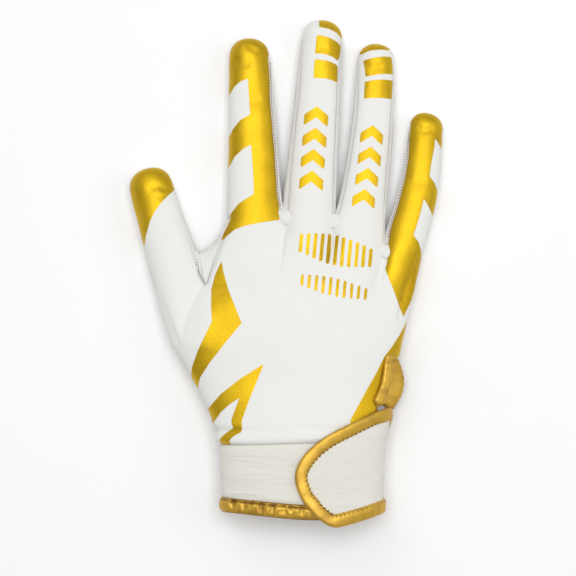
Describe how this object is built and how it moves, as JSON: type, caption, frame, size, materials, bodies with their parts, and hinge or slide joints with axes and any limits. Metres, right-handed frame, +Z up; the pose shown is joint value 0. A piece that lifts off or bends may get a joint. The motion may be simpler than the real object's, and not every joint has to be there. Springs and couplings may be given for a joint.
{
  "type": "football receiver glove",
  "caption": "Right-hand football receiver glove in white stretch cloth with gold panels, glossy grip palm and hook-and-loop wrist strap.",
  "frame": {"origin": "middle of the underside of the whole glove, on the surface that it lies on", "axes": "+Z up out of the back of the hand, +Y along the fingers, thumb on the -X side"},
  "size_m": [0.1468, 0.2362, 0.0338],
  "materials": {
    "back_cloth": "matte",
    "palm_grip": "gloss",
    "side_cloth": "matte",
    "cuff_cloth": "matte",
    "gold_binding": "satin",
    "snap_plastic": "gloss"
  },
  "bodies": {
    "root": {"back_panel": "back_cloth", "thumb_back": "back_cloth", "palm_panel": "palm_grip", "palm_index_finger": "palm_grip", "palm_middle_finger": "palm_grip", "palm_ring_finger": "palm_grip", "palm_little_finger": "palm_grip", "fourchette_index_middle": "side_cloth", "fourchette_middle_ring": "side_cloth", "fourchette_ring_little": "side_cloth", "thumb_gusset": "side_cloth", "cuff_band": "cuff_cloth", "closure_strap": "cuff_cloth", "cuff_hem_binding": "gold_binding", "strap_binding": "gold_binding", "vent_binding_back": "gold_binding", "vent_binding_palm": "gold_binding", "snap_button": "snap_plastic"}
  },
  "joints": []
}
